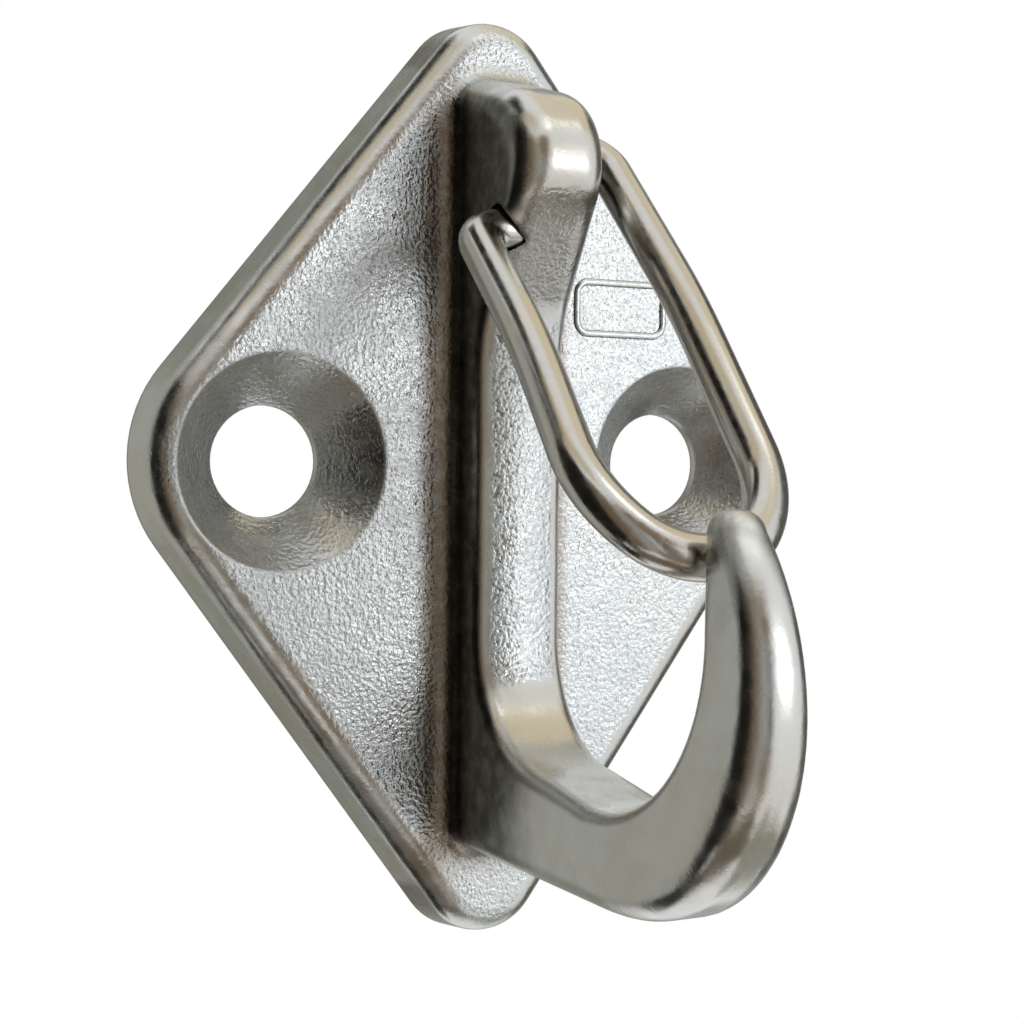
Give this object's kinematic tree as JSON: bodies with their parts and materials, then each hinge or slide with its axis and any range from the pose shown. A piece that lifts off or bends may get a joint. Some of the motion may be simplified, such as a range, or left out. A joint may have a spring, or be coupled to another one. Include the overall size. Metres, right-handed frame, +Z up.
{
  "type": "leash hook",
  "caption": "Wall-mounted leash hook: kite-shaped cast plate with countersunk screw holes, an upturned hook on a rib, and a bent wire gate that opens inwards.",
  "frame": {"origin": "on the plate's back face, midway between the two screw holes", "axes": "+Z up the wall, +Y into the wall, so that the hook stands out towards -Y; +X to the right along the plate, seen from the room"},
  "size_m": [0.055, 0.0437, 0.0722],
  "materials": {
    "cast_steel": "polished casting with a finely pebbled plate",
    "wire_steel": "polished drawn wire"
  },
  "bodies": {
    "casting": {"hook_casting": "cast_steel"},
    "gate": {"wire_gate": "wire_steel"}
  },
  "joints": [
    {"name": "gate_pivot", "type": "hinge", "parent": "casting", "child": "gate", "pos_m": [0, -0.0123, 0.01705], "axis": [1, 0, 0], "range_deg": [0, 22], "stiffness_Nm_per_rad": 0.5, "springref_deg": -5.73}
  ]
}
